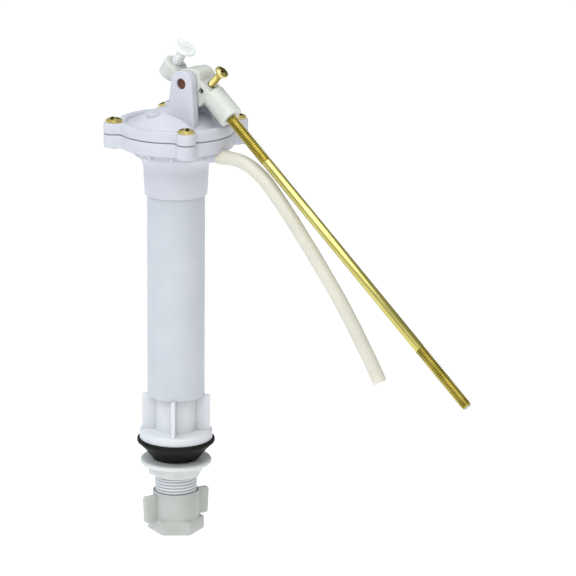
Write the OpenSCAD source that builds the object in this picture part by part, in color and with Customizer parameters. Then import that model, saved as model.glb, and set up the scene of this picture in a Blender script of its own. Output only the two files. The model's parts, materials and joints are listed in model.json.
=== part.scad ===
// Ballcock fill valve for a toilet cistern, 285 mm tall.
// Frame: +Z up along the shank, +X along the float arm. The origin is where the
// underside of the shank flange meets the shank axis, which is the tank's seat.

/* [Tank joint] */
// Diameter of the flange that clamps the rubber washer
flange_d = 41.4; // [38:0.2:46]
// Thickness of the flange
flange_t = 4.7; // [3:0.1:7]
// Outside diameter of the 15/16 inch shank thread
shank_d = 23.8; // [22:0.1:26]
// How far the shank reaches below the flange
shank_len = 44; // [36:1:60]
// Radius that the four fins reach
fin_reach = 19.5; // [17:0.1:20.5]
// Thickness of a fin
fin_t = 2.2; // [1.6:0.1:4]
// Heading of the first fin
fin_heading = -59; // [-90:1:90]
// Radius of the rubber washer's lip
washer_lip_r = 22.1; // [21.6:0.1:24]
// Depth of the rubber washer's cone
washer_depth = 12.2; // [8:0.1:16]

/* [Nuts] */
// Radius of the locknut's flange
locknut_r = 20.3; // [17:0.1:24]
// Width across the flats of the locknut
locknut_flats = 28.6; // [28.4:0.2:34]
// Height of the whole locknut
locknut_h = 9.5; // [8.5:0.1:14]
// Top of the coupling nut, below the flange
coupling_top = 31.4; // [24:0.1:33]
// Height of the whole coupling nut
coupling_h = 23.9; // [20:0.1:30]
// Width across the flats of the coupling nut
coupling_flats = 28.2; // [27:0.1:32]
// Radius that the coupling nut's two wings reach
wing_reach = 21; // [17:0.5:26]
// Heading of the first wing
wing_heading = 65; // [0:5:180]

/* [Tubes] */
// Outside diameter of the outer tube
outer_d = 32.5; // [30:0.1:36]
// Wall of the outer tube
outer_wall = 2.2; // [1.5:0.1:3]
// Bottom edge of the outer tube
outer_bottom = 25.5; // [20:0.5:34]
// Outside diameter of the riser tube inside it
riser_d = 16; // [13:0.5:18]
// Wall of the riser tube
riser_wall = 2; // [1:0.1:3]

/* [Valve head] */
// Height of the collar's lower edge
collar_bottom = 142.3; // [120:0.1:150]
// Height of the joint between body and bonnet
split_z = 177.7; // [176:0.1:185]
// Radius of the two clamped flanges
head_r = 32.3; // [30:0.1:36]
// Thickness of the body's flange
body_flange_t = 7.9; // [6:0.1:10]
// Height of the bonnet's raised rim above the joint
rim_h = 6.3; // [5:0.1:9]
// Radius of the circle of screw bosses
boss_ring_r = 35.2; // [34:0.1:38]
// Radius of a screw boss
screw_boss_r = 5.3; // [4.8:0.1:6]
// Reach of the refill nipple from the axis
nipple_reach = 36; // [32:0.5:42]
// Height of the refill nipple
nipple_z = 167.2; // [166:0.1:168]

/* [Float arm] */
// Distance of the lever's pivot from the axis
pivot_x = 11.8; // [11:0.1:13]
// Height of the lever's pivot
pivot_z = 207.6; // [206:0.1:212]
// Width of the lever between the ears
lever_w = 13; // [11:0.1:13.2]
// How far the rod points below the horizontal
rod_angle = 41.5; // [36:0.5:42]
// Height of the rod's axis over the pivot, square to the rod
rod_rise = 3.4; // [2:0.1:5]
// Distance from the pivot to the socket's mouth along the rod
socket_reach = 31; // [26:0.1:36]
// Diameter of the float rod
rod_d = 6.2; // [5:0.1:6.4]
// Diameter of the float rod's plain middle
rod_plain_d = 5.6; // [4.6:0.1:6]
// Length of the float rod
rod_len = 231; // [150:0.5:310]
// Lean of the thumb screw towards the rod
thumb_lean = 32; // [25:0.5:34]
// Diameter of the thumb screw's disc
thumb_disc_d = 13.5; // [11:0.1:16]

/* [Refill tube] */
// Outside diameter of the refill tube
refill_d = 7.8; // [7:0.1:9]

/* [Hidden] */
$fn = 96;
gap = 0.05;                 // radial clearance of a running fit
eps = 0.01;                 // overlap of solids that are one piece
hull_gap = 0.3;             // space between faces of pieces that move

// Colours
white = "#DCDDE6";
nut_white = "#CDD2CE";
milky = "#E6E6DC";
brass = "#C9A24A";
copper = "#7A3B2A";
black = "#20211C";
cream = "#DAD8CB";
steel = "#B9BDC1";

// Shank and its bores
shank_r = shank_d / 2;
shank_core_r = 11.7;        // plain stretch between the fins
socket_top = 40;            // top of the riser's socket
riser_r = riser_d / 2;
riser_bottom = -12;
riser_top = 164;
inlet_r = 6;                // water way below the riser
seal_z = 35;                // riser seal's groove
seal_r = 0.9;               // half the seal's thickness

// Nuts
locknut_top = -washer_depth - hull_gap;
coupling_bottom = -coupling_top - coupling_h;
hex_h = 7.9;                // hexagon at the bottom of the coupling nut
nut_round_r = 13.3;         // round part of the coupling nut
nut_bore_r = shank_r + 0.07;
nut_floor = coupling_bottom + 4.3;
tail_r = 6.6;               // hole for a 1/2 inch supply tube
friction_t = 1.5;
wing_t = 3;
wing_h = 16;

// Body
outer_r = outer_d / 2;
outer_inner_r = outer_r - outer_wall;
outer_top = 157.6;          // the tube stops against a shoulder here
collar_r = 18.2;
collar_foot_r = 17.6;
neck_r = 10;                // radius of the fillet under the flange
neck_sweep = 60;            // how far round that fillet goes
neck_z = 156.3;             // where that fillet starts
neck_top_r = collar_r + neck_r * (1 - cos(neck_sweep));
neck_top_z = neck_z + neck_r * sin(neck_sweep);
body_flange_z = split_z - body_flange_t;
rib_h = 5;                  // ribs under the flange
rib_t = 1.5;
rib_reach = 7;
nipple_root_r = 4;
nipple_tip_r = 3;
nipple_bore_r = 1.5;
chamber_r = 19;             // pressure chamber under the diaphragm
chamber_floor = 165;
column_r = 10.2;            // column that carries the valve seat
seat_top = 173.9;
seat_r = 7;
port_r = 3.6;               // water way through the seat
boss_fillet_r = 3;

// Diaphragm, plate and plunger
diaphragm_r = 27;
diaphragm_t = 1.2;
bead_r = 0.9;
plate_r = 9.5;
plate_t = 2;
pad_top = split_z + 0.8;
plunger_r = 3.95;
plunger_top = 197.8;
ring_z = 190.4;             // sealing ring in the plunger's groove
ring_r = 0.7;               // half that ring's thickness

// Bonnet
rim_top = split_z + rim_h;
rim_inner_r = 28;
dome_r = 25;                // dome's base radius
dome_base = rim_top - 2;
dome_top = 191.5;
dome_wall = 2.6;
dome_ball = (dome_r * dome_r + pow(dome_top - dome_base, 2)) / (2 * (dome_top - dome_base));
cavity_r = 21.5;
tower_r = 6;
tower_top = 194.6;
ear_inner = lever_w / 2 + 0.2;
ear_t = 5;
ear_r = 7.1;                // radius of the ear's round top
ear_foot_in = 10;           // reach of the ear's foot on the axis side
ear_foot_out = 8.8;         // and on the rod side
marker_heading = -112;      // round button on the dome
marker_ring_r = 14.5;
marker_r = 3.6;
marker_top = 189.8;
pin_r = 3;
screw_ring_r = boss_ring_r - 0.5;
screw_r = 2.35;
screw_head_r = 4.75;
screw_head_h = 2.9;
screw_len = 15.1;

// Lever
hub_r = 7.6;
socket_mouth_r = 6.85;
socket_root_r = 6.8;
socket_lift = 0.4;          // socket's axis over the rod's
socket_root = 13.8;         // where the socket's thick part starts
rod_grip = 24.4;            // rod inside the lever
rod_r = rod_d / 2;
rod_top_thread = 57;        // threaded lengths at the rod's two ends
rod_tip_thread = 42;
saddle_w = 12.6;            // low stretch that the set screw goes through
saddle_drop = 4;
clamp_u = 9.6;              // set screw's place along the rod
clamp_r = 2.1;
clamp_head_r = 3.9;
clamp_head_h = 2.6;
clamp_head_n = 17.1;        // underside of that head over the pivot
block_x = 20.5;             // end wall of the lever's head block
block_corner_r = 3;
thumb_x = 5.8;              // centre of the thumb screw's disc
thumb_z = 225.1;
thumb_r = 2.9;
thumb_len = 19.9;           // disc's centre to the tip
thumb_disc_t = 2.5;
thumb_boss_r = 6.6;
thumb_boss_from = 10.5;     // boss's top and bottom, below the disc's centre
thumb_boss_to = 19.4;
thumb_web_w = 12.4;         // web that joins the boss to the hub
thumb_web_from = 11.5;
thumb_web_to = 17.4;
thumb_web_reach = 12;
cross_hole_r = 1.6;         // hole across the lever beside the clamp screw

// Refill tube's route: straight off the nipple, then a gentle droop
refill_route = [
    [29, 0, 167.2], [36, 0, 167.2], [44, 0, 166.5], [51, 0, 164], [58, 0, 159.5],
    [64, 0, 154], [71, 0, 146.5], [78, 0, 138.5], [85, 0, 130], [92, 0, 121.5],
    [99, 0, 112.5], [106, 0, 103.5], [112.5, 0, 94.5], [119, 0, 85], [125, 0, 75.5],
    [131, 0, 66], [136.5, 0, 56.5],
];
tube_sides = 10;

// ---------- shared shapes ----------

// Points of an arc about c from angle a to angle b
function arc(c, r, a, b, n = 12) =
    [for (i = [0:n]) let (t = a + (b - a) * i / n) [c[0] + r * cos(t), c[1] + r * sin(t)]];

// A ring of round section about Z
module round_ring(r, section_r, z) {
    translate([0, 0, z])
        rotate_extrude()
            translate([r, 0])
                circle(section_r, $fn = 32);
}

module at_screws() {
    for (turn = [45:90:315])
        rotate([0, 0, turn])
            translate([screw_ring_r, 0, 0])
                children();
}

// One screw boss of the flange's outline, with a fillet each side, and the rim up to the next
function boss_outline(turn) =
    let (reach = head_r + boss_fillet_r,
         spread = acos((reach * reach + pow(boss_ring_r, 2) - pow(screw_boss_r + boss_fillet_r, 2))
                       / (2 * reach * boss_ring_r)),
         lean = atan2(reach * sin(spread), boss_ring_r - reach * cos(spread)))
    concat(
        arc(reach * heading_of(turn - spread), boss_fillet_r, turn + 180 - spread, turn + lean, 6),
        arc(boss_ring_r * heading_of(turn), screw_boss_r, turn + lean - 174, turn + 174 - lean, 14),
        arc(reach * heading_of(turn + spread), boss_fillet_r, turn - lean, turn + spread - 180, 6),
        arc([0, 0], head_r, turn + spread + 4, turn + 86 - spread, 14));

function heading_of(turn) = [cos(turn), sin(turn)];

// Outline of both clamped flanges: a disc with four filleted bosses
module flange_outline() {
    polygon([for (turn = [45:90:315]) each boss_outline(turn)]);
}

// Stands a drawing in X and Z upright, width w along Y
module upright(w) {
    rotate([90, 0, 0])
        linear_extrude(w, center = true)
            children();
}

// The lever's own frame: +X along the rod, +Z square to it, from the pivot
module on_lever() {
    translate([pivot_x, 0, pivot_z])
        rotate([0, rod_angle, 0])
            children();
}

// The thumb screw's frame: +Z up its axis, from the centre of its disc
module on_thumb() {
    translate([thumb_x, 0, thumb_z])
        rotate([0, thumb_lean, 0])
            children();
}

// ---------- tank joint ----------

module shank_base() {
    flange_edge = 0.8;
    fin_root = shank_core_r - 1;
    color(white)
    difference() {
        union() {
            rotate_extrude()
                polygon([[0, 0], [flange_d / 2, 0], [flange_d / 2, flange_t - flange_edge],
                         [flange_d / 2 - flange_edge, flange_t], [shank_core_r, flange_t],
                         [shank_core_r, socket_top], [0, socket_top]]);
            translate([0, 0, -shank_len])
                cylinder(h = shank_len + eps, r = shank_r);
            for (turn = [0:90:270])
                rotate([0, 0, fin_heading + turn]) {
                    translate([fin_root, -fin_t / 2, flange_t - eps])
                        cube([fin_reach - fin_root, fin_t, outer_bottom - flange_t]);
                    translate([fin_root, -fin_t / 2, outer_bottom - 1])
                        cube([outer_inner_r - gap - fin_root, fin_t, socket_top - outer_bottom - 2]);
                }
        }
        translate([0, 0, riser_bottom])
            cylinder(h = socket_top - riser_bottom + 1, r = riser_r + gap);
        translate([0, 0, -shank_len - 1])
            cylinder(h = shank_len + 1, r = inlet_r);
        translate([0, 0, seal_z - seal_r - gap])
            cylinder(h = 2 * (seal_r + gap), r = riser_r + 2 * seal_r + 2 * gap);
    }
}

module inlet_screen() {
    slots = 8;
    slot_w = 1.2;
    screen_h = 10;
    color(steel)
    translate([0, 0, -shank_len + 1])
        difference() {
            cylinder(h = screen_h, r = inlet_r - gap);
            translate([0, 0, -1])
                cylinder(h = screen_h, r = inlet_r - 1);
            for (turn = [0:slots - 1])
                rotate([0, 0, turn * 360 / slots])
                    translate([0, -slot_w / 2, 2])
                        cube([inlet_r + 1, slot_w, screen_h - 4]);
        }
}

module riser_tube() {
    color(white)
    translate([0, 0, riser_bottom])
        difference() {
            cylinder(h = riser_top - riser_bottom, r = riser_r);
            translate([0, 0, -1])
                cylinder(h = riser_top - riser_bottom + 2, r = riser_r - riser_wall);
        }
}

module riser_seal() {
    color(black)
    round_ring(riser_r + gap + seal_r, seal_r, seal_z);
}

module outer_tube() {
    color(white)
    translate([0, 0, outer_bottom])
        difference() {
            cylinder(h = outer_top - outer_bottom, r = outer_r);
            translate([0, 0, -1])
                cylinder(h = outer_top - outer_bottom + 2, r = outer_inner_r);
        }
}

// Rubber cone with a lip that stands out past the flange
module cone_washer() {
    lip_t = 1.8;
    foot_r = 13.2;
    lip_edge = washer_lip_r - lip_t / 2;
    color(black)
    rotate_extrude()
        polygon(concat(
            [[shank_r + gap, 0], [shank_r + gap, -washer_depth], [foot_r, -washer_depth],
             [washer_lip_r - 4.4, 0.5 - washer_depth / 2], [washer_lip_r - 2.2, -3.6]],
            arc([lip_edge, -lip_t / 2 - 0.2], lip_t / 2, -50, 90, 8),
            [[flange_d / 2 - 0.5, 0]]));
}

module locknut() {
    flange_h = 2.6;
    chamfer_h = 1;
    chamfer_r = 13.4;
    edge_r = 1.1;
    hex_turn = -4;
    color(nut_white)
    translate([0, 0, locknut_top])
        difference() {
            union() {
                rotate_extrude()
                    polygon(concat([[0, 0]],
                        arc([locknut_r - edge_r, -edge_r], edge_r, 90, 0, 6),
                        arc([locknut_r - edge_r, edge_r - flange_h], edge_r, 0, -90, 6),
                        [[0, -flange_h]]));
                rotate([0, 0, hex_turn])
                    translate([0, 0, chamfer_h - locknut_h])
                        cylinder(h = locknut_h - chamfer_h - flange_h + eps,
                                 r = locknut_flats / 2 / cos(30), $fn = 6);
                translate([0, 0, -locknut_h])
                    cylinder(h = chamfer_h + eps, r1 = chamfer_r, r2 = chamfer_r + chamfer_h);
            }
            translate([0, 0, -locknut_h - 1])
                cylinder(h = locknut_h + 2, r = nut_bore_r);
        }
}

module coupling_nut() {
    lip_h = 2.5;
    lip_bore_r = 12.5;
    hex_turn = 36;
    wing_drop = 1.6;
    color(nut_white)
    difference() {
        union() {
            translate([0, 0, coupling_bottom])
                cylinder(h = coupling_h, r = nut_round_r);
            rotate([0, 0, hex_turn])
                translate([0, 0, coupling_bottom])
                    cylinder(h = hex_h, r = coupling_flats / 2 / cos(30), $fn = 6);
            for (turn = [0, 180])
                rotate([0, 0, wing_heading + turn])
                    translate([nut_bore_r + 0.5, -wing_t / 2, coupling_bottom + hex_h - wing_drop])
                        cube([wing_reach - nut_bore_r - 0.5, wing_t, wing_h]);
        }
        translate([0, 0, nut_floor])
            cylinder(h = coupling_h, r = nut_bore_r);
        translate([0, 0, -coupling_top - lip_h])
            cylinder(h = lip_h + 1, r = lip_bore_r);
        translate([0, 0, coupling_bottom - 1])
            cylinder(h = coupling_h, r = tail_r);
    }
}

// Cone washer that seals the supply tube against the shank
module supply_washer() {
    edge_h = 1.8;
    edge_r = nut_bore_r - hull_gap;
    nose_w = 1.6;
    top_z = -shank_len - hull_gap;
    foot_z = nut_floor + friction_t;
    color(black)
    rotate_extrude()
        polygon([[tail_r, foot_z], [edge_r, foot_z], [edge_r, foot_z + edge_h],
                 [tail_r + nose_w, top_z], [tail_r, top_z]]);
}

module friction_ring() {
    color(brass)
    translate([0, 0, nut_floor])
        difference() {
            cylinder(h = friction_t, r = nut_bore_r - hull_gap);
            translate([0, 0, -1])
                cylinder(h = 4, r = tail_r);
        }
}

// ---------- valve head ----------

module body_outside() {
    rotate_extrude()
        polygon(concat(
            [[0, collar_bottom], [collar_foot_r, collar_bottom], [collar_r, neck_z]],
            arc([collar_r + neck_r, neck_z], neck_r, 180, 180 - neck_sweep),
            [[neck_top_r, body_flange_z + 1], [0, body_flange_z + 1]]));
    translate([0, 0, body_flange_z])
        linear_extrude(body_flange_t)
            flange_outline();
    for (turn = [0:30:330])
        rotate([0, 0, turn])
            translate([neck_top_r - 4, -rib_t / 2, body_flange_z - rib_h + 0.8])
                cube([rib_reach, rib_t, rib_h]);
    translate([neck_top_r - 2, 0, nipple_z])
        rotate([0, 90, 0])
            cylinder(h = nipple_reach - neck_top_r + 2, r1 = nipple_root_r, r2 = nipple_tip_r);
}

module body_inside() {
    translate([0, 0, collar_bottom - 1])
        cylinder(h = outer_top - collar_bottom + 1, r = outer_r + gap);
    translate([0, 0, outer_top - 1])
        cylinder(h = chamber_floor - outer_top + 2, r = outer_inner_r);
    translate([0, 0, chamber_floor])
        cylinder(h = split_z, r = chamber_r);
    translate([0, 0, split_z - diaphragm_t])
        cylinder(h = split_z, r = diaphragm_r + gap);
    rotate_extrude()
        translate([diaphragm_r - 2, split_z - diaphragm_t])
            circle(bead_r + gap, $fn = 32);
}

module upper_body() {
    web_t = 2;
    color(white)
    difference() {
        union() {
            difference() {
                body_outside();
                body_inside();
            }
            translate([0, 0, outer_top - 6])
                cylinder(h = seat_top - 0.8 - outer_top + 6, r = column_r);
            for (turn = [45:90:315])
                rotate([0, 0, turn])
                    translate([column_r - 1, -web_t / 2, outer_top])
                        cube([outer_inner_r - column_r + 2, web_t, chamber_floor - outer_top + 1]);
        }
        translate([0, 0, outer_top - 7])
            cylinder(h = riser_top - outer_top + 7, r = riser_r + gap);
        translate([0, 0, riser_top - 1])
            cylinder(h = seat_top - riser_top, r = riser_r - riser_wall);
        translate([0, 0, seat_top - 5])
            cylinder(h = 6, r = seat_r + gap);
        translate([chamber_r - 2, 0, nipple_z])
            rotate([0, 90, 0])
                cylinder(h = nipple_reach, r = nipple_bore_r);
        at_screws()
            translate([0, 0, body_flange_z - 1])
                cylinder(h = body_flange_t + 2, r = screw_r + gap);
    }
}

// Replaceable seat that the diaphragm closes on
module seat_insert() {
    color(nut_white)
    rotate_extrude()
        polygon([[port_r, seat_top - 5], [seat_r, seat_top - 5], [seat_r, seat_top - 1.2],
                 [port_r + 1.4, seat_top], [port_r, seat_top]]);
}

module diaphragm() {
    under = split_z - diaphragm_t;
    fold_at = 15;
    fold_in_r = 2;
    fold_out_r = 3.2;
    fold_lift = 0.8;            // outer arc's centre over the inner arc's
    meet = asin((diaphragm_t - fold_lift) / fold_out_r);
    color(black)
    union() {
        rotate_extrude()
            polygon(concat(
                [[0, under]],
                arc([fold_at, under], fold_in_r, 180, 0, 10),
                [[diaphragm_r, under], [diaphragm_r, split_z]],
                arc([fold_at, under + fold_lift], fold_out_r, meet, 180 - meet, 10),
                [[plate_r + 0.4, split_z], [plate_r - 1, pad_top], [0, pad_top]]));
        round_ring(diaphragm_r - 2, bead_r, under);
    }
}

module diaphragm_plate() {
    color(white)
    translate([0, 0, pad_top])
        cylinder(h = plate_t, r = plate_r - 1);
}

module plunger() {
    chamfer = 0.6;
    color(white)
    difference() {
        union() {
            translate([0, 0, pad_top + plate_t])
                cylinder(h = plunger_top - chamfer - pad_top - plate_t, r = plunger_r);
            translate([0, 0, plunger_top - chamfer - eps])
                cylinder(h = chamfer + eps, r1 = plunger_r, r2 = plunger_r - chamfer);
        }
        translate([0, 0, ring_z - ring_r - gap * 2])
            difference() {
                cylinder(h = 2 * ring_r + gap * 4, r = plunger_r + 1);
                translate([0, 0, -1])
                    cylinder(h = 4, r = plunger_r - 2 * ring_r - gap);
            }
    }
}

module plunger_ring() {
    color(black)
    round_ring(plunger_r - ring_r, ring_r, ring_z);
}

module ear_outline() {
    polygon(concat([[pivot_x - ear_foot_in, dome_base], [pivot_x + ear_foot_out, dome_base]],
                   arc([pivot_x, pivot_z], ear_r, 0, 180, 20)));
}

module bonnet() {
    dome_centre = dome_top - dome_ball;
    base_angle = asin((dome_base - dome_centre) / dome_ball);
    inner_ball = dome_ball - dome_wall;
    inner_angle = acos(cavity_r / inner_ball);
    color(white)
    difference() {
        union() {
            translate([0, 0, split_z])
                linear_extrude(dome_base - split_z)
                    flange_outline();
            translate([0, 0, split_z])
                linear_extrude(rim_h)
                    difference() {
                        flange_outline();
                        circle(rim_inner_r);
                    }
            rotate_extrude()
                polygon(concat([[0, split_z], [dome_r, split_z]],
                    arc([0, dome_centre], dome_ball, base_angle, 90, 20)));
            translate([0, 0, dome_base])
                cylinder(h = tower_top - dome_base, r = tower_r);
            for (side = [-1, 1])
                translate([0, side * (ear_inner + ear_t / 2), 0])
                    upright(ear_t)
                        ear_outline();
            rotate([0, 0, marker_heading])
                translate([marker_ring_r, 0, dome_base])
                    cylinder(h = marker_top - dome_base, r = marker_r);
        }
        rotate_extrude()
            polygon(concat([[0, split_z - 1], [cavity_r, split_z - 1]],
                arc([0, dome_centre], inner_ball, inner_angle, 90, 16)));
        cylinder(h = 300, r = plunger_r + gap);
        translate([pivot_x, 0, pivot_z])
            rotate([90, 0, 0])
                cylinder(h = 60, r = pin_r + gap, center = true);
        at_screws()
            translate([0, 0, split_z - 1])
                cylinder(h = rim_h + 2, r = screw_r + gap);
    }
}

module bonnet_screws() {
    color(brass)
    at_screws() {
        translate([0, 0, rim_top])
            cylinder(h = screw_head_h, r = screw_head_r);
        translate([0, 0, rim_top - screw_len])
            cylinder(h = screw_len + eps, r = screw_r);
    }
}

module lever_pin() {
    sunk = 1.2;
    color(copper)
    translate([pivot_x, 0, pivot_z])
        rotate([90, 0, 0])
            cylinder(h = 2 * (ear_inner + ear_t - sunk), r = pin_r, center = true);
}

// ---------- float arm ----------

// Hub and head block, drawn in X and Z
module lever_outline() {
    polygon(concat(
        arc([pivot_x, pivot_z], hub_r, 90, 330, 30),
        [[block_x, pivot_z - 4]],
        arc([block_x - block_corner_r, pivot_z + hub_r - block_corner_r], block_corner_r, 0, 90, 6)));
}

module lever() {
    color(milky)
    difference() {
        union() {
            upright(lever_w)
                lever_outline();
            on_thumb() {
                translate([0, 0, -thumb_boss_to])
                    cylinder(h = thumb_boss_to - thumb_boss_from, r = thumb_boss_r);
                translate([0, -thumb_web_w / 2, -thumb_web_to])
                    cube([thumb_web_reach, thumb_web_w, thumb_web_to - thumb_web_from]);
            }
            on_lever() {
                translate([socket_root, 0, rod_rise + socket_lift])
                    rotate([0, 90, 0])
                        cylinder(h = socket_reach - socket_root, r1 = socket_root_r, r2 = socket_mouth_r);
                translate([0, -saddle_w / 2, -saddle_drop])
                    cube([socket_root + 1, saddle_w, saddle_drop + rod_rise + rod_r + 0.8]);
            }
        }
        translate([pivot_x, 0, pivot_z])
            rotate([90, 0, 0])
                cylinder(h = lever_w + 2, r = pin_r + gap, center = true);
        on_thumb()
            translate([0, 0, -thumb_len - 8])
                cylinder(h = thumb_len + 8, r = thumb_r + gap);
        on_lever() {
            translate([socket_reach - rod_grip, 0, rod_rise])
                rotate([0, 90, 0])
                    cylinder(h = rod_grip + 1, r = rod_r + gap);
            translate([clamp_u, 0, rod_rise])
                cylinder(h = 30, r = clamp_r + gap);
            translate([clamp_u, 0, rod_rise])
                rotate([90, 0, 0])
                    cylinder(h = lever_w, r = cross_hole_r);
        }
    }
}

module thumb_screw() {
    edge_r = 0.9;
    edge_x = thumb_disc_d / 2 - edge_r;
    edge_z = thumb_disc_t / 2 - edge_r;
    color(milky)
    on_thumb() {
        rotate_extrude()
            polygon(concat([[0, -thumb_disc_t / 2]],
                arc([edge_x, -edge_z], edge_r, -90, 0, 6),
                arc([edge_x, edge_z], edge_r, 0, 90, 6),
                [[0, thumb_disc_t / 2]]));
        translate([0, 0, -thumb_len])
            cylinder(h = thumb_len, r = thumb_r);
    }
}

module rod_set_screw() {
    tip = rod_rise + rod_r + 2 * gap;
    color(brass)
    on_lever()
        translate([clamp_u, 0, 0]) {
            translate([0, 0, clamp_head_n])
                cylinder(h = clamp_head_h, r = clamp_head_r);
            translate([0, 0, tip])
                cylinder(h = clamp_head_n - tip + eps, r = clamp_r);
        }
}

// Two threaded ends at full diameter and a plain middle
module float_rod() {
    chamfer = 1;
    tip_start = rod_len - rod_tip_thread;
    color(brass)
    on_lever()
        translate([socket_reach - rod_grip, 0, rod_rise])
            rotate([0, 90, 0]) {
                cylinder(h = rod_top_thread, r = rod_r);
                translate([0, 0, rod_top_thread - eps])
                    cylinder(h = tip_start - rod_top_thread + 2 * eps, r = rod_plain_d / 2);
                translate([0, 0, tip_start])
                    cylinder(h = rod_tip_thread - chamfer, r = rod_r);
                translate([0, 0, rod_len - chamfer - eps])
                    cylinder(h = chamfer + eps, r1 = rod_r, r2 = rod_r - chamfer);
            }
}

// ---------- refill tube ----------

// Direction of the route at point i
function heading(p, i) =
    let (d = p[min(i + 1, len(p) - 1)] - p[max(i - 1, 0)]) d / norm(d);

// One ring of corners round the route's point i; the route lies in X and Z
function ring(p, i, r) =
    let (d = heading(p, i), side = [0, 1, 0], up = cross(d, side))
    [for (k = [0:tube_sides - 1])
        let (turn = k * 360 / tube_sides) p[i] + r * (cos(turn) * side + sin(turn) * up)];

module refill_tube() {
    n = tube_sides;
    last = len(refill_route) - 1;
    color(cream)
    polyhedron(
        points = [for (i = [0:last]) each ring(refill_route, i, refill_d / 2)],
        faces = concat(
            [[for (k = [0:n - 1]) k]],
            [for (i = [0:last - 1], k = [0:n - 1])
                [i * n + k, (i + 1) * n + k, (i + 1) * n + (k + 1) % n, i * n + (k + 1) % n]],
            [[for (k = [n - 1:-1:0]) last * n + k]]));
}

shank_base();
inlet_screen();
riser_tube();
riser_seal();
outer_tube();
cone_washer();
locknut();
coupling_nut();
supply_washer();
friction_ring();
upper_body();
seat_insert();
diaphragm();
diaphragm_plate();
plunger();
plunger_ring();
bonnet();
bonnet_screws();
lever_pin();
lever();
thumb_screw();
rod_set_screw();
float_rod();
refill_tube();
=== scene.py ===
"""Toilet fill valve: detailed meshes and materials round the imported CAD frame.

Shapes are worked out in millimetres in the part's own frame, +Z up the shank and +X along the
float arm, and go to metres when they become pieces.
"""
import json
import math
import random

import bmesh
import bpy
from mathutils import Matrix, Vector


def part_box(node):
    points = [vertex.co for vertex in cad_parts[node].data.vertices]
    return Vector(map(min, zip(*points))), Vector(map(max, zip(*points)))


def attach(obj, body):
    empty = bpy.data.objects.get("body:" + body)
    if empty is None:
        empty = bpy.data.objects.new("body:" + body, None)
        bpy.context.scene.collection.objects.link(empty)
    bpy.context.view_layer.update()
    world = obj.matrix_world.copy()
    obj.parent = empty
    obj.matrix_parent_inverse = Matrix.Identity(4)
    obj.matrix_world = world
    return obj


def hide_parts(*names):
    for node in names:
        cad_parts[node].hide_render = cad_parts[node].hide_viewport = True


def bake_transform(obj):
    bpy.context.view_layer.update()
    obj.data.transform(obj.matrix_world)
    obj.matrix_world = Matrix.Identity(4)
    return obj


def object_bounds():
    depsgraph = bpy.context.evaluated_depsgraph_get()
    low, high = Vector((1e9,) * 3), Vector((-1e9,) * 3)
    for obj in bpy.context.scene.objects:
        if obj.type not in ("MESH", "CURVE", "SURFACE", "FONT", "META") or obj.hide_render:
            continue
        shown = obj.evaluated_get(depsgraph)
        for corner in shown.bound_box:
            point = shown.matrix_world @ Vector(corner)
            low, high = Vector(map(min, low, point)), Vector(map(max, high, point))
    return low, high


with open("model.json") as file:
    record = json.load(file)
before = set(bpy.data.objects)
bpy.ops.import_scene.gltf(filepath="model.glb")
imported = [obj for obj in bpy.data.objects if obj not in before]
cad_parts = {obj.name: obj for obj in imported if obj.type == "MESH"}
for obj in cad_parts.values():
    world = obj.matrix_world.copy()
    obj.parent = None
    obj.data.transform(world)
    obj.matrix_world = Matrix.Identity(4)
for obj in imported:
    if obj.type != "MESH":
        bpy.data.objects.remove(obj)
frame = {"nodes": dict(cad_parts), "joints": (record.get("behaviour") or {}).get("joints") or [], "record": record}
cad_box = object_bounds()
random.seed(7)

MM = 0.001
# How a box is read: its low or high corner, and an axis there
LOW, HIGH = 0, 1
X, Z = 0, 2


def edge(node, corner, axis):
    """One coordinate of a CAD node's box, in millimetres."""
    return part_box(node)[corner][axis] / MM


# ---------------------------------------------------------------- camera, floor and lights

CAMERA_PLACE = (1.0016, -1.3736, 0.5589)
CAMERA_HEADING = math.radians(33.98)
CAMERA_DIP = math.radians(15.49)
CAMERA_ROLL = math.radians(0.57)
CAMERA_LENS = 196.3
FLOOR_DROP = 0.42
FLOOR_SIZE = 30
BRIGHT_WAY = (-0.6, -0.5, 0.8)
SKY_STOPS = [(0.05, (0.18, 0.17, 0.15)), (0.5, (0.44, 0.44, 0.42)), (0.92, (0.73, 0.77, 0.83))]
SKY_STRENGTH = 0.95
LIT_PLACE = Vector((0.03, 0, 0.1))
KEY_PLACE = (0.15, -1.45, 1.0)
KEY_SIZE = 0.9
KEY_WATTS = 2.6
KEY_COLOUR = (1.0, 0.99, 0.97)
TOP_PLACE = (0.25, -0.6, 1.5)
TOP_SIZE = 1.6
TOP_WATTS = 18
TOP_COLOUR = (1.0, 1.0, 1.0)
FILL_PLACE = (1.25, -1.1, 0.45)
FILL_SIZE = 1.0
FILL_WATTS = 2.0
FILL_COLOUR = (1.0, 0.97, 0.86)


def make_camera():
    data = bpy.data.cameras.new("camera")
    data.lens = CAMERA_LENS
    data.sensor_width = 36
    data.clip_end = 60
    camera = bpy.data.objects.new("camera", data)
    camera.matrix_world = (
        Matrix.Translation(CAMERA_PLACE)
        @ Matrix.Rotation(CAMERA_HEADING, 4, "Z")
        @ Matrix.Rotation(math.radians(90) - CAMERA_DIP, 4, "X")
        @ Matrix.Rotation(CAMERA_ROLL, 4, "Z")
    )
    bpy.context.scene.collection.objects.link(camera)
    bpy.context.scene.camera = camera


def area_light(name, place, size, watts, colour):
    """A square soft light that faces the middle of the valve."""
    data = bpy.data.lights.new(name, "AREA")
    data.size = size
    data.energy = watts
    data.color = colour
    light = bpy.data.objects.new(name, data)
    light.location = place
    light.rotation_euler = (LIT_PLACE - light.location).to_track_quat("-Z", "Y").to_euler()
    bpy.context.scene.collection.objects.link(light)


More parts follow.
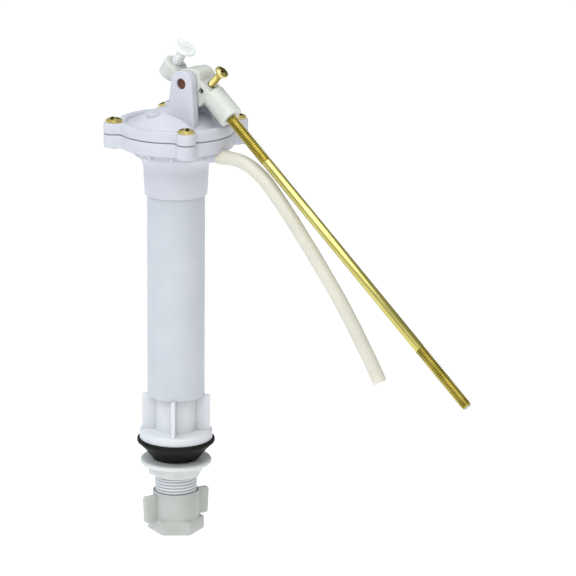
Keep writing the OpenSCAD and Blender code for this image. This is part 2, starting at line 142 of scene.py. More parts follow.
def make_sky():
    """A studio whose left side is bright and cool and whose right side is dim and warm."""
    world = bpy.data.worlds.new("studio")
    world.use_nodes = True
    nodes, links = world.node_tree.nodes, world.node_tree.links
    way = nodes.new("ShaderNodeTexCoord").outputs["Generated"]
    side = nodes.new("ShaderNodeVectorMath")
    side.operation = "DOT_PRODUCT"
    side.inputs[1].default_value = Vector(BRIGHT_WAY).normalized()
    links.new(way, side.inputs[0])
    span = nodes.new("ShaderNodeMapRange")
    span.inputs["From Min"].default_value = -1
    links.new(side.outputs["Value"], span.inputs["Value"])
    ramp = nodes.new("ShaderNodeValToRGB")
    elements = ramp.color_ramp.elements
    elements.new(0.5)
    for element, (position, colour) in zip(elements, SKY_STOPS):
        element.position = position
        element.color = (*colour, 1)
    links.new(span.outputs["Result"], ramp.inputs["Fac"])
    links.new(ramp.outputs["Color"], nodes["Background"].inputs["Color"])
    nodes["Background"].inputs["Strength"].default_value = SKY_STRENGTH
    bpy.context.scene.world = world


def make_studio():
    make_sky()
    area_light("key", KEY_PLACE, KEY_SIZE, KEY_WATTS, KEY_COLOUR)
    area_light("top", TOP_PLACE, TOP_SIZE, TOP_WATTS, TOP_COLOUR)
    area_light("fill", FILL_PLACE, FILL_SIZE, FILL_WATTS, FILL_COLOUR)
    half = FLOOR_SIZE / 2
    mesh = bpy.data.meshes.new("floor")
    corners = [(-half, -half, 0), (half, -half, 0), (half, half, 0), (-half, half, 0)]
    mesh.from_pydata(corners, [], [(0, 1, 2, 3)])
    floor = bpy.data.objects.new("floor", mesh)
    floor.location = (0, 0, cad_box[0][2] - FLOOR_DROP)
    bpy.context.scene.collection.objects.link(floor)
    mesh.materials.append(floor_finish())
    bpy.context.scene.view_settings.view_transform = "Standard"


# ---------------------------------------------------------------- material building blocks


class Finish:
    """A Principled material with a few helpers for its procedural detail."""

    def __init__(self, name, colour, roughness, metallic=0.0):
        self.material = bpy.data.materials.new(name)
        self.material.use_nodes = True
        self.nodes = self.material.node_tree.nodes
        self.links = self.material.node_tree.links
        self.shader = self.nodes["Principled BSDF"]
        self.shader.inputs["Base Color"].default_value = (*colour, 1)
        self.shader.inputs["Roughness"].default_value = roughness
        self.shader.inputs["Metallic"].default_value = metallic
        self.place = self.nodes.new("ShaderNodeTexCoord").outputs["Object"]
        self.bumps = None

    def set(self, **values):
        for name, value in values.items():
            self.shader.inputs[name.replace("_", " ")].default_value = value

    def noise(self, scale, detail, stretch=(1, 1, 1), turn=(0, 0, 0)):
        """Noise of that many cells a metre, stretched along the axes of a turned frame."""
        mapping = self.nodes.new("ShaderNodeMapping")
        mapping.inputs["Rotation"].default_value = turn
        mapping.inputs["Scale"].default_value = stretch
        self.links.new(self.place, mapping.inputs["Vector"])
        noise = self.nodes.new("ShaderNodeTexNoise")
        noise.inputs["Scale"].default_value = scale
        noise.inputs["Detail"].default_value = detail
        self.links.new(mapping.outputs["Vector"], noise.inputs["Vector"])
        return noise.outputs["Fac"]

    def ramp(self, factor, stops):
        """Colours along a factor: stops is [(position, colour), ...]."""
        ramp = self.nodes.new("ShaderNodeValToRGB")
        elements = ramp.color_ramp.elements
        while len(elements) < len(stops):
            elements.new(0.5)
        for element, (position, colour) in zip(elements, stops):
            element.position = position
            element.color = (*colour, 1)
        self.links.new(factor, ramp.inputs["Fac"])
        return ramp.outputs["Color"]

    def vary_colour(self, factor, stops):
        self.links.new(self.ramp(factor, stops), self.shader.inputs["Base Color"])

    def vary_roughness(self, factor, low, high):
        span = self.nodes.new("ShaderNodeMapRange")
        span.inputs["From Min"].default_value = 0.3
        span.inputs["From Max"].default_value = 0.7
        span.inputs["To Min"].default_value = low
        span.inputs["To Max"].default_value = high
        self.links.new(factor, span.inputs["Value"])
        self.links.new(span.outputs["Result"], self.shader.inputs["Roughness"])

    def bump(self, factor, depth, strength):
        """Raises the surface by a factor, depth metres at most, on top of earlier bumps."""
        bump = self.nodes.new("ShaderNodeBump")
        bump.inputs["Distance"].default_value = depth
        bump.inputs["Strength"].default_value = strength
        self.links.new(factor, bump.inputs["Height"])
        if self.bumps:
            self.links.new(self.bumps, bump.inputs["Normal"])
        self.bumps = bump.outputs["Normal"]
        self.links.new(self.bumps, self.shader.inputs["Normal"])


def floor_finish():
    finish = Finish("floor_pale", (0.8, 0.8, 0.8), 0.9)
    finish.set(Emission_Color=(1, 1, 1, 1), Emission_Strength=0.55)
    return finish.material


def plastic(name, pale, dark, roughness, depth, radius):
    """Injection-moulded plastic: faint mottling, a satin skin and a little light let in."""
    finish = Finish(name, pale, roughness)
    finish.set(Subsurface_Weight=depth, Subsurface_Radius=radius, Subsurface_Scale=0.001, IOR=1.5)
    finish.vary_colour(finish.noise(55, 4), [(0.3, dark), (0.7, pale)])
    finish.vary_roughness(finish.noise(420, 3), roughness - 0.06, roughness + 0.08)
    finish.bump(finish.noise(260, 2), 0.00005, 0.5)
    finish.bump(finish.noise(2600, 2), 0.00001, 0.6)
    return finish.material


def metal(name, pale, dark, roughness, turn=(0, 0, 0)):
    """Bright metal with drawn lines along its own axis and faint darker patches."""
    finish = Finish(name, pale, roughness, metallic=1.0)
    lines = finish.noise(1500, 3, stretch=(0.02, 1, 1), turn=turn)
    finish.vary_colour(finish.noise(90, 4), [(0.32, dark), (0.62, pale)])
    finish.vary_roughness(lines, roughness - 0.05, roughness + 0.08)
    finish.bump(lines, 0.00001, 0.35)
    return finish.material


def rubber(name, colour):
    """Moulded black rubber with a fine matte grain and paler bloom in patches."""
    finish = Finish(name, colour, 0.5)
    finish.set(Specular_IOR_Level=0.12)
    bloom = tuple(min(1, c * 2.1 + 0.004) for c in colour)
    finish.vary_colour(finish.noise(140, 5), [(0.35, colour), (0.75, bloom)])
    finish.vary_roughness(finish.noise(900, 3), 0.42, 0.62)
    finish.bump(finish.noise(1500, 3), 0.00003, 0.6)
    return finish.material


ROD_TURN = (0, math.radians(-41.5), 0)
# Pale and dark colours, roughness, share of light let in and how far it goes in millimetres
PLASTICS = {
    "valve_plastic": ((0.555, 0.585, 0.625), (0.515, 0.545, 0.59), 0.36, 0.15, (3, 3, 4)),
    "head_plastic": ((0.58, 0.595, 0.65), (0.54, 0.555, 0.615), 0.36, 0.15, (3, 3, 4)),
    "base_plastic": ((0.69, 0.71, 0.735), (0.65, 0.67, 0.70), 0.34, 0.2, (3, 3, 4)),
    "nut_plastic": ((0.49, 0.505, 0.485), (0.445, 0.46, 0.43), 0.40, 0.25, (4, 5, 5)),
    "locknut_plastic": ((0.66, 0.68, 0.675), (0.62, 0.64, 0.625), 0.40, 0.25, (4, 5, 5)),
    "milky_plastic": ((0.60, 0.62, 0.585), (0.56, 0.58, 0.54), 0.30, 0.6, (6, 6, 5)),
    "screw_plastic": ((0.76, 0.81, 0.79), (0.73, 0.79, 0.76), 0.28, 0.8, (6, 7, 6)),
    "tube_vinyl": ((0.68, 0.655, 0.565), (0.63, 0.605, 0.515), 0.38, 0.35, (5, 4, 3)),
    # A darker, browner copy of the vinyl for the tube's inner wall: painted shade inside the bore
    "tube_bore_painted_shade": ((0.42, 0.31, 0.20), (0.36, 0.26, 0.17), 0.5, 0.1, (3, 2, 1)),
}
# Pale and dark colours, roughness and the turn of the drawn lines
METALS = {
    "brass": ((0.62, 0.56, 0.185), (0.53, 0.475, 0.14), 0.15, ROD_TURN),
    # A darker copy of the brass for the threads: the shade of the thread grooves painted into the colour
    "thread_brass_painted_shade": ((0.52, 0.44, 0.115), (0.31, 0.255, 0.045), 0.24, ROD_TURN),
    "screw_brass": ((0.76, 0.65, 0.26), (0.52, 0.42, 0.12), 0.24),
    # Near-black brass for the screws' cross recesses: painted shade in the recess, not the metal's own colour
    "painted_shade_brass": ((0.16, 0.12, 0.035), (0.07, 0.05, 0.015), 0.4),
    "copper_pin": ((0.20, 0.085, 0.06), (0.11, 0.045, 0.035), 0.42),
    "screen_steel": ((0.62, 0.63, 0.64), (0.5, 0.51, 0.52), 0.3),
}
MATERIALS = {name: plastic(name, *look) for name, look in PLASTICS.items()}
MATERIALS |= {name: metal(name, *look) for name, look in METALS.items()}
MATERIALS["black_rubber"] = rubber("black_rubber", (0.004, 0.0045, 0.0032))


# ---------------------------------------------------------------- shapes from loops


class Shape:
    """Points in millimetres and faces: one closed solid, or several added together.
    Each face has a tone: 0 takes the piece's finish and 1 its inner finish."""

    def __init__(self, points=(), faces=(), tones=()):
        self.points = [Vector(p) for p in points]
        self.faces = list(faces)
        self.tones = list(tones) or [0] * len(self.faces)

    def __add__(self, other):
        shift = len(self.points)
        faces = self.faces + [[i + shift for i in f] for f in other.faces]
        return Shape(self.points + other.points, faces, self.tones + other.tones)

    def moved(self, matrix):
        return Shape([matrix @ p for p in self.points], self.faces, self.tones)


def stack(loops, ring=False):
    """A closed solid through loops of equal count. ring joins the last loop to the first;
    otherwise both ends are capped."""
    count = len(loops[0])
    points = [p for loop in loops for p in loop]
    pairs = list(zip(range(len(loops) - 1), range(1, len(loops))))
    if ring:
        pairs.append((len(loops) - 1, 0))
    faces = [
        [a * count + i, a * count + (i + 1) % count, b * count + (i + 1) % count, b * count + i]
        for a, b in pairs
        for i in range(count)
    ]
    if not ring:
        faces.append([i for i in reversed(range(count))])
        faces.append([(len(loops) - 1) * count + i for i in range(count)])
    return Shape(points, faces)


def turns(count):
    return [2 * math.pi * i / count for i in range(count)]


def circle(radius, z, angles):
    return [Vector((radius * math.cos(a), radius * math.sin(a), z)) for a in angles]


def turned(profile, count, ring=False):
    """A lathe shape about Z from (radius, z) points."""
    angles = turns(count)
    return stack([circle(r, z, angles) for r, z in profile], ring)


def softened(corners, steps=4, closed=False):
    """A line of (x, y, fillet) corners with an arc at each corner that has a fillet."""
    line = []
    last = len(corners) - 1
    for i, (x, y, fillet) in enumerate(corners):
        if not fillet or (not closed and i in (0, last)):
            line.append((x, y))
            continue
        here = Vector((x, y))
        back = (Vector(corners[i - 1][:2]) - here).normalized()
        on = (Vector(corners[(i + 1) % len(corners)][:2]) - here).normalized()
        half = back.angle(on) / 2
        reach = fillet / math.tan(half)
        centre = here + (back + on).normalized() * fillet / math.sin(half)
        start = here + back * reach - centre
        end = here + on * reach - centre
        sweep = start.angle_signed(end)
        for k in range(steps + 1):
            p = centre + Matrix.Rotation(-sweep * k / steps, 2) @ start
            line.append((p.x, p.y))
    return line


def inset(outline, amount):
    """The outline's points moved inwards, square to their neighbours; anticlockwise outline."""
    moved = []
    for i, (x, y) in enumerate(outline):
        along = Vector(outline[(i + 1) % len(outline)]) - Vector(outline[i - 1])
        inward = Vector((-along.y, along.x)).normalized()
        moved.append((x + inward.x * amount, y + inward.y * amount))
    return moved


def flat(outline, z):
    return [Vector((x, y, z)) for x, y in outline]


def rounded_edge(low, high, soft, steps=3):
    """(z, inset) levels of a plate from low to high whose two edges are rounded by soft."""
    levels = []
    for k in range(steps + 1):
        a = math.radians(90) * k / steps
        levels.append((low + soft * (1 - math.sin(a)), soft * (1 - math.cos(a))))
    upper = [(low + high - z, amount) for z, amount in levels]
    return sorted(levels) + sorted(upper)


def plate(outline, low, high, soft):
    """An outline extruded from low to high, its edges rounded."""
    return stack([flat(inset(outline, i), z) for z, i in rounded_edge(low, high, soft)])


def holed_plate(outline, centre, hole, low, high, soft):
    """A rounded plate with a round hole; the outline is seen whole from the hole's centre."""
    loops = [flat(inset(outline, i), z) for z, i in rounded_edge(low, high, soft)]
    rim = []
    for x, y in outline:
        out = (Vector((x, y)) - Vector(centre)).normalized() * hole
        rim.append((centre[0] + out.x, centre[1] + out.y))
    return stack([flat(rim, low)] + loops + [flat(rim, high)], ring=True)


CUT_THREAD = [(0.0, 0.0), (0.14, 0.0), (0.30, 0.55), (0.46, 1.0), (0.60, 1.0), (0.80, 0.5)]
MOULDED_THREAD = [(0.0, 0.0), (0.09, 0.0), (0.22, 0.75), (0.36, 1.0), (0.70, 1.0), (0.86, 0.75)]


def thread(major, root, pitch, low, high, core, count, profile=CUT_THREAD):
    """A threaded sleeve about Z over an inner radius core, its crests fading at both ends.
    profile holds (share of the pitch, share of the height) steps of one turn."""
    steps = len(profile)
    coils = math.ceil((high - low) / pitch) + 1

    def point(row, column):
        turn, step = divmod(row, steps)
        phase, height = profile[step]
        z = low + (turn - 1 + phase + column / count) * pitch
        fade = min(1, max(0, (z - low) / pitch), max(0, (high - z) / pitch))
        radius = root + (major - root) * height * fade
        a = 2 * math.pi * column / count
        z = min(high, max(low, z))
        return Vector((radius * math.cos(a), radius * math.sin(a), z))

    rows = (coils + 1) * steps
    points = [point(row, column) for row in range(rows) for column in range(count)]
    faces = []
    for row in range(rows - 1):
        for here in range(row * count, (row + 1) * count - 1):
            faces.append([here, here + 1, here + 1 + count, here + count])
    for row in range(rows - 1 - steps):
        here = (row + 1) * count - 1
        beside = (row + steps) * count
        faces.append([here, beside, beside + count, here + count])
    angles = turns(count)
    base = len(points)
    points += circle(core, low, angles) + circle(core, high, angles)
    top = (rows - 1) * count
    for i in range(count):
        j = (i + 1) % count
        faces.append([base + i, base + j, j, i])
        faces.append([top + i, top + j, base + count + j, base + count + i])
        faces.append([base + count + i, base + count + j, base + j, base + i])
    return Shape(points, faces)


def piece(name, shape, body, finish, replaces=(), sharp=38, inner=None):
    mesh = bpy.data.meshes.new(name)
    mesh.from_pydata([p * MM for p in shape.points], [], shape.faces)
    mesh.polygons.foreach_set("material_index", shape.tones)
    work = bmesh.new()
    work.from_mesh(mesh)
    bmesh.ops.remove_doubles(work, verts=work.verts, dist=1e-7)
    bmesh.ops.dissolve_degenerate(work, dist=1e-7, edges=work.edges)
    bmesh.ops.recalc_face_normals(work, faces=work.faces)
    work.to_mesh(mesh)
    work.free()
    return finish_piece(name, mesh, body, finish, replaces, sharp, inner)


def finish_piece(name, mesh, body, finish, replaces=(), sharp=38, inner=None):
    """Smooths a mesh up to the sharp angle, gives it its finishes and places it."""
    mesh.polygons.foreach_set("use_smooth", [True] * len(mesh.polygons))
    mesh.set_sharp_from_angle(angle=math.radians(sharp))
    mesh.materials.append(MATERIALS[finish])
    if inner:
        mesh.materials.append(MATERIALS[inner])
    made = bpy.data.objects.new(name, mesh)
    bpy.context.scene.collection.objects.link(made)
    if body:
        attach(made, body)
    if replaces:
        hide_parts(*replaces)
    return made


# ---------------------------------------------------------------- refill tube

REFILL_OUTER = 3.9
REFILL_INNER = 2.7
REFILL_ROUTE = [
    (29, 0, 167.2), (36, 0, 167.2), (44, 0, 166.5), (51, 0, 164), (58, 0, 159.5),
    (64, 0, 154), (71, 0, 146.5), (78, 0, 138.5), (85, 0, 130), (92, 0, 121.5),
    (99, 0, 112.5), (106, 0, 103.5), (112.5, 0, 94.5), (119, 0, 85), (125, 0, 75.5),
    (131, 0, 66), (136.5, 0, 56.5),
]
SIDEWAYS = Vector((0, 1, 0))


def smooth_route(corners, steps=8):
    """A Catmull-Rom curve through the corners."""
    places = [Vector(c) for c in corners]
    places = [2 * places[0] - places[1]] + places + [2 * places[-1] - places[-2]]
    route = []
    for a, b, c, d in zip(places, places[1:], places[2:], places[3:]):
        for k in range(steps):
            t = k / steps
            bend = (2 * a - 5 * b + 4 * c - d) * t**2 + (3 * b - a - 3 * c + d) * t**3
            route.append(0.5 * (2 * b + (c - a) * t + bend))
    return route + [places[-2]]


def tube_loop(route, i, radius, count=32):
    along = (route[min(i + 1, len(route) - 1)] - route[max(i - 1, 0)]).normalized()
    up = along.cross(SIDEWAYS)
    return [route[i] + radius * (math.cos(a) * SIDEWAYS + math.sin(a) * up) for a in turns(count)]


def make_refill_tube():
    route = smooth_route(REFILL_ROUTE)
    last = len(route) - 1
    soft = 0.25
    stretch = 0.55
    stretched_points = 9.6

    def flare(i):
        """How far the nipple stretches the tube at point i."""
        t = max(0, 1 - i / stretched_points)
        return stretch * t * t * (3 - 2 * t)

    outer = [tube_loop(route, i, REFILL_OUTER + flare(i)) for i in range(last + 1)]
    inner = [tube_loop(route, i, REFILL_INNER + flare(i)) for i in range(last + 1)]
    outer[0] = tube_loop(route, 0, REFILL_OUTER + flare(0) - soft)
    outer[last] = tube_loop(route, last, REFILL_OUTER - soft)
    shape = stack(outer + inner[::-1], ring=True)
    tube = piece("refill_hose", shape, "valve_body", "tube_vinyl", ["refill_tube"], sharp=50)
    # Faces of the inner wall take the darker bore finish: painted shade inside the tube
    tube.data.materials.append(MATERIALS["tube_bore_painted_shade"])
    middle = [p * MM for p in route]
    for face in tube.data.polygons:
        nearest = min(middle, key=lambda p: (p - face.center).length)
        if (face.center - nearest).length < (REFILL_INNER + 0.4) * MM:
            face.material_index = 1


# ---------------------------------------------------------------- tank joint

SHANK_R = 11.9
SHANK_ROOT = 10.2
SHANK_PITCH = 1.814
SHANK_FOOT = edge("shank_base", LOW, Z)
SHANK_HEAD = edge("shank_base", HIGH, Z)
FLANGE_R = edge("shank_base", HIGH, X)
FLANGE_T = 4.7
CORE_R = 11.7
FIN_REACH = 19.5
FIN_T = 2.2
FIN_HEADING = -59
TUBE_R = edge("outer_tube", HIGH, X)
TUBE_FOOT = edge("outer_tube", LOW, Z)
TUBE_HEAD = edge("outer_tube", HIGH, Z)
TUBE_BORE = TUBE_R - 2.2
RISER_SOCKET_R = 8.05
INLET_R = 6
NUT_BORE = SHANK_R + 0.07


def upright(heading=0):
    """Stands a drawing's X along a heading and its Y up."""
    return Matrix.Rotation(math.radians(heading), 4, "Z") @ Matrix.Rotation(math.radians(90), 4, "X")


def shaped(levels, count=192):
    """A ring about Z from (radius or function of the angle, z) levels."""
    loops = []
    for radius, z in levels:
        reach = radius if callable(radius) else (lambda a, r=radius: r)
        loops.append([Vector((reach(a) * math.cos(a), reach(a) * math.sin(a), z)) for a in turns(count)])
    return stack(loops, ring=True)


def make_shank():
    riser_foot = edge("riser_tube", LOW, Z)
    fin_root = CORE_R - 1
    fin_head = SHANK_HEAD - 2
    inside_tube = TUBE_BORE - 0.1
    moulding = turned(softened([
        (INLET_R, SHANK_FOOT, 0.4), (SHANK_ROOT, SHANK_FOOT, 0.5), (SHANK_ROOT, 0, 0),
        (FLANGE_R, 0, 0.3), (FLANGE_R, FLANGE_T, 0.9), (CORE_R, FLANGE_T, 0.8),
        (CORE_R, SHANK_HEAD, 0.4), (RISER_SOCKET_R, SHANK_HEAD, 0.4),
        (RISER_SOCKET_R, riser_foot, 0), (INLET_R, riser_foot, 0),
    ], closed=True), 128, ring=True)
    fin = plate(softened([
        (fin_root, FLANGE_T - 0.5, 0), (FIN_REACH, FLANGE_T - 0.5, 0), (FIN_REACH, TUBE_FOOT, 0.9),
        (inside_tube, TUBE_FOOT, 0.3), (inside_tube, fin_head, 0.8), (fin_root, fin_head, 0),
    ], closed=True), -FIN_T / 2, FIN_T / 2, 0.35)
    for turn in range(4):
        moulding += fin.moved(upright(FIN_HEADING + 90 * turn))
    moulding += thread(SHANK_R, SHANK_ROOT + 0.1, SHANK_PITCH, SHANK_FOOT, -1.2, SHANK_ROOT - 0.6,
                       96, MOULDED_THREAD)
    piece("threaded_shank", moulding, "valve_body", "base_plastic", ["shank_base"])


def make_outer_tube():
    wall = turned(softened([
        (TUBE_BORE, TUBE_FOOT, 0.4), (TUBE_R, TUBE_FOOT, 0.4),
        (TUBE_R, TUBE_HEAD, 0.4), (TUBE_BORE, TUBE_HEAD, 0.4),
    ], closed=True), 128, ring=True)
    piece("outer_sleeve", wall, "valve_body", "valve_plastic", ["outer_tube"])


def make_cone_washer():
    foot = edge("cone_washer", LOW, Z)
    lip = edge("cone_washer", HIGH, X)
    bore = SHANK_R + 0.05
    cone = turned(softened([
        (bore, -0.02, 0), (bore, foot, 0.3), (12.9, foot, 0.5), (18.1, -5.9, 3), (20.7, -3.2, 1.0),
        (lip, -2.0, 0.7), (lip, -0.25, 0.7), (FLANGE_R - 0.4, -0.02, 0),
    ], 6, closed=True), 128, ring=True)
    piece("rubber_cone", cone, "valve_body", "black_rubber", ["cone_washer"], sharp=50)


def hexagon(flats, clip, heading):
    """Radius of a hexagon at an angle, its corners clipped at a radius."""

    def reach(a):
        off = (math.degrees(a) - heading) % 60
        return min(clip, flats / 2 / math.cos(math.radians(min(off, 60 - off))))

    return reach


def shrunk(reach, amount):
    return lambda a: reach(a) - amount


def make_locknut():
    top = edge("locknut", HIGH, Z)
    foot = edge("locknut", LOW, Z)
    rim = edge("locknut", HIGH, X)
    hexagonal = hexagon(flats=28.6, clip=16.3, heading=26)
    hex_top = top - 2.6
    hex_foot = foot + 1
    spigot_r = 13.4
    edge_r = 1.15
    disc = softened([
        (NUT_BORE + 0.6, top, 0), (rim, top, edge_r), (rim, hex_top, edge_r), (17.2, hex_top, 0),
    ], 6)
    levels = [(NUT_BORE, top - 0.6)] + disc + [
        (shrunk(hexagonal, -0.4), hex_top - 0.02), (shrunk(hexagonal, -0.1), hex_top - 0.2),
        (hexagonal, hex_top - 0.5), (hexagonal, hex_foot + 0.5), (shrunk(hexagonal, 0.5), hex_foot),
        (spigot_r + 0.3, hex_foot - 0.3), (spigot_r, foot + 0.3), (spigot_r - 0.4, foot),
        (NUT_BORE + 0.5, foot), (NUT_BORE, foot + 0.5),
    ]
    piece("tank_locknut", shaped(levels), "locknut", "locknut_plastic", ["locknut"])


def make_coupling_nut():
    foot = edge("coupling_nut", LOW, Z)
    top = edge("coupling_nut", HIGH, Z)
    hexagonal = hexagon(flats=28.2, clip=16, heading=6)
    round_r = 13.3
    mouth_r = 12.5
    shoulder = foot + 7.9
    floor = foot + 4.3
    tail = 6.6
    levels = [
        (tail, floor), (tail, foot + 0.4), (tail + 0.4, foot), (shrunk(hexagonal, 0.9), foot),
        (shrunk(hexagonal, 0.25), foot + 0.3), (hexagonal, foot + 0.9), (hexagonal, shoulder - 1.1),
        (shrunk(hexagonal, 0.35), shoulder - 0.4), (round_r + 0.35, shoulder),
        (round_r + 0.05, shoulder + 0.4), (round_r, shoulder + 1), (round_r, top - 0.8),
        (round_r - 0.25, top - 0.2), (round_r - 0.6, top), (mouth_r + 0.2, top),
        (mouth_r, top - 0.3), (mouth_r, top - 2.5), (NUT_BORE, top - 3), (NUT_BORE, floor),
    ]
    nut = shaped(levels)
    wing_heading = 65
    wing_reach = 21
    wing_t = 3
    wing_root = NUT_BORE + 0.6
    wing_foot = shoulder - 1.6
    wing_top = wing_foot + 16
    wing = plate(softened([
        (wing_root, wing_foot + 0.6, 0), (wing_reach - 0.7, wing_foot, 1.4),
        (wing_reach, wing_top, 1.6), (wing_root, wing_top, 0),
    ], closed=True), -wing_t / 2, wing_t / 2, 0.6)
    for turn in (0, 180):
        nut += wing.moved(upright(wing_heading + turn))
    piece("winged_nut", nut, "coupling_nut", "nut_plastic", ["coupling_nut"])


# ---------------------------------------------------------------- valve head

HEAD_R = 32.3
BOSS_RING_R = 35.2
SCREW_RING_R = 34.7
SCREW_HEAD_H = 2.9
SCREW_PITCH = 1.06
BOSS_R = 5.3
BOSS_FILLET = 3.0
SPLIT = edge("bonnet", LOW, Z)
RIM_TOP = edge("bonnet_screws", HIGH, Z) - SCREW_HEAD_H
FLANGE_FOOT = SPLIT - 7.9
GROOVE_W = 0.7
GROOVE_DEEP = 1.4
COLLAR_FOOT = edge("upper_body", LOW, Z)
RIM_INNER_R = 28
DOME_R = 25
DOME_BASE = RIM_TOP - 2
DOME_TOP = 191.5
TOWER_R = 6
TOWER_TOP = 194.6
PLUNGER_BORE = 4
CAVITY_R = 21.5
BUTTON_R = 3.6
BUTTON_TOP = 189.8
BUTTON_RING_R = 14.5
BUTTON_HEADING = -112
LEVER_W = 13
EAR_INNER = LEVER_W / 2 + 0.2
EAR_T = 5
PIN_HOLE_R = 3.05
PIVOT = Vector(next(j["pos_m"] for j in frame["joints"] if j["name"] == "lever_pivot")) / MM


def head_angles():
    """Angles round the flange, close together at the four bosses."""
    angles = []
    for boss in (45, 135, 225, 315):
        angles += [boss - 15 + 30 * k / 44 for k in range(44)]
        angles += [boss + 15 + 60 * k / 20 for k in range(20)]
    return [math.radians(a) for a in angles]


def corner_angle(a, b, far):
    """The angle between sides a and b of a triangle whose third side is far."""
    return math.acos((a * a + b * b - far * far) / (2 * a * b))


def head_outline(a):
    """Radius of the flange's outline: a disc with four bosses, filleted into it."""
    off = abs(a % math.radians(90) - math.radians(45))
    reach = HEAD_R + BOSS_FILLET
    apart = BOSS_R + BOSS_FILLET
    spread = corner_angle(reach, BOSS_RING_R, apart)
    if off >= spread:
        return HEAD_R
    near = BOSS_RING_R * math.sin(off)
    if near < BOSS_R:
        boss = BOSS_RING_R * math.cos(off) + math.sqrt(BOSS_R**2 - near**2)
        fillet_angle = corner_angle(reach, apart, BOSS_RING_R)
        touch = spread - math.asin(BOSS_FILLET * math.sin(fillet_angle) / boss)
        if off <= touch:
            return boss
    beside = spread - off
    return reach * math.cos(beside) - math.sqrt(max(0, BOSS_FILLET**2 - (reach * math.sin(beside)) ** 2))


def head_loops(levels):
    """Loops about Z at head_angles from ("out", inset, z) and (radius, z) levels."""
    angles = head_angles()
    outline = [(head_outline(a) * math.cos(a), head_outline(a) * math.sin(a)) for a in angles]
    loops = []
    for level in levels:
        if level[0] == "out":
            loops.append(flat(inset(outline, level[1]), level[2]))
        else:
            loops.append(circle(level[0], level[1], angles))
    return loops


def arc(centre, radius, start, end, steps):
    """(x, y) points of an arc, angles in degrees."""
    return [
        (centre[0] + radius * math.cos(math.radians(start + (end - start) * k / steps)),
         centre[1] + radius * math.sin(math.radians(start + (end - start) * k / steps)))
        for k in range(steps + 1)
    ]


def flange_side(low, high, low_soft, high_soft):
    """Levels up a flange's side, both edges rounded."""
    bend = 0.3
    return [
        ("out", low_soft, low), ("out", low_soft * bend, low + low_soft * bend),
        ("out", 0, low + low_soft), ("out", 0, high - high_soft),
        ("out", high_soft * bend, high - high_soft * bend), ("out", high_soft, high),
    ]


def make_upper_body():
    collar_r = 18.2
    collar_foot_r = 17.6
    neck_z = 156.3
    neck_r = 10
    chamber_r = 19
    chamber_floor = 165
    joint = SPLIT - 0.03
    groove = SPLIT - GROOVE_W / 2
    levels = [(TUBE_R + 0.05, COLLAR_FOOT + 0.3), (TUBE_R + 0.35, COLLAR_FOOT),
              (collar_foot_r - 0.4, COLLAR_FOOT), (collar_foot_r - 0.1, COLLAR_FOOT + 0.1),
              (collar_foot_r, COLLAR_FOOT + 0.4), (collar_r, neck_z - 1)]
    levels += arc((collar_r + neck_r, neck_z), neck_r, 180, 120, 12)
    neck_top_r = levels[-1][0]
    levels += [(neck_top_r, FLANGE_FOOT - 0.8), (neck_top_r + 0.25, FLANGE_FOOT - 0.2),
               (neck_top_r + 0.8, FLANGE_FOOT)]
    levels += flange_side(FLANGE_FOOT, groove, 0.7, 0.15)
    levels += [("out", GROOVE_DEEP, groove), ("out", GROOVE_DEEP, joint), (chamber_r, joint),
               (chamber_r, chamber_floor), (TUBE_BORE, chamber_floor), (TUBE_BORE, TUBE_HEAD),
               (TUBE_R + 0.05, TUBE_HEAD)]
    body = stack(head_loops(levels), ring=True)
    rib_t = 1.5
    rib_foot = FLANGE_FOOT - 4.2
    rib_head = FLANGE_FOOT + 0.5
    rib_root = neck_top_r - 3.5
    rib_end = neck_top_r + 3
    rib = plate([(rib_root, rib_foot), (rib_end - 2, rib_foot), (rib_end, rib_foot + 2),
                 (rib_end, rib_head), (rib_root, rib_head)], -rib_t / 2, rib_t / 2, 0.25)
    for turn in range(0, 360, 30):
        body += rib.moved(upright(turn))
    spout_bore = 1.5
    spout_root = neck_top_r - 4
    spout_end = 36
    spout = turned(softened([
        (spout_bore, spout_root, 0), (4.4, spout_root, 0), (3.9, neck_top_r + 2, 2),
        (3.3, spout_end - 5, 0.5), (3.35, spout_end - 2.8, 0.4), (3.0, spout_end, 0.4),
        (spout_bore, spout_end, 0.3),
    ], closed=True), 48, ring=True)
    height = edge("refill_tube", HIGH, Z) - REFILL_OUTER
    body += spout.moved(Matrix.Translation((0, 0, height)) @ Matrix.Rotation(math.radians(90), 4, "Y"))
    piece("valve_head", body, "valve_body", "head_plastic", ["upper_body"])


def make_diaphragm():
    """The rubber disc in wedges about Z, each baked in place as a piece of its own."""
    wedges = 6
    steps = 12
    sweep = math.radians(360) / wedges
    low = SPLIT - 1.2
    pad_top = SPLIT + 0.8
    rim_r = 27
    centre_r = 0.3
    fold_r = 15
    profile = [(centre_r, low)] + arc((fold_r, low), 2, 180, 0, 10)
    profile += arc((rim_r - 2, low), 0.9, 180, 360, 8) + [(rim_r, low), (rim_r, SPLIT)]
    profile += arc((fold_r, low + 0.8), 3.2, 8, 172, 14)
    profile += [(9.9, SPLIT), (8.5, pad_top), (centre_r, pad_top)]
    for part in range(wedges):
        headings = [sweep * (part + k / steps) for k in range(steps + 1)]
        loops = [[Vector((r * math.cos(a), r * math.sin(a), z)) for r, z in profile] for a in headings]
        wedge = piece(f"diaphragm_wedge_{part + 1}", stack(loops), None, "black_rubber", ["diaphragm"])
        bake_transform(wedge)


def ear_outline():
    """The ear in X and Z: round about its pin, spreading down to the dome."""
    top_r = 7.1
    left_top, right_top = (PIVOT.x - top_r, PIVOT.z), (PIVOT.x + top_r, PIVOT.z)
    left_base, right_base = (PIVOT.x - 10, DOME_BASE), (PIVOT.x + 8.8, DOME_BASE)

    def between(start, end, steps):
        return [tuple(Vector(start).lerp(Vector(end), k / steps)) for k in range(1, steps)]

    return (arc((PIVOT.x, PIVOT.z), top_r, 0, 180, 36) + between(left_top, left_base, 14) + [left_base]
            + between(left_base, right_base, 12) + [right_base] + between(right_base, right_top, 14))


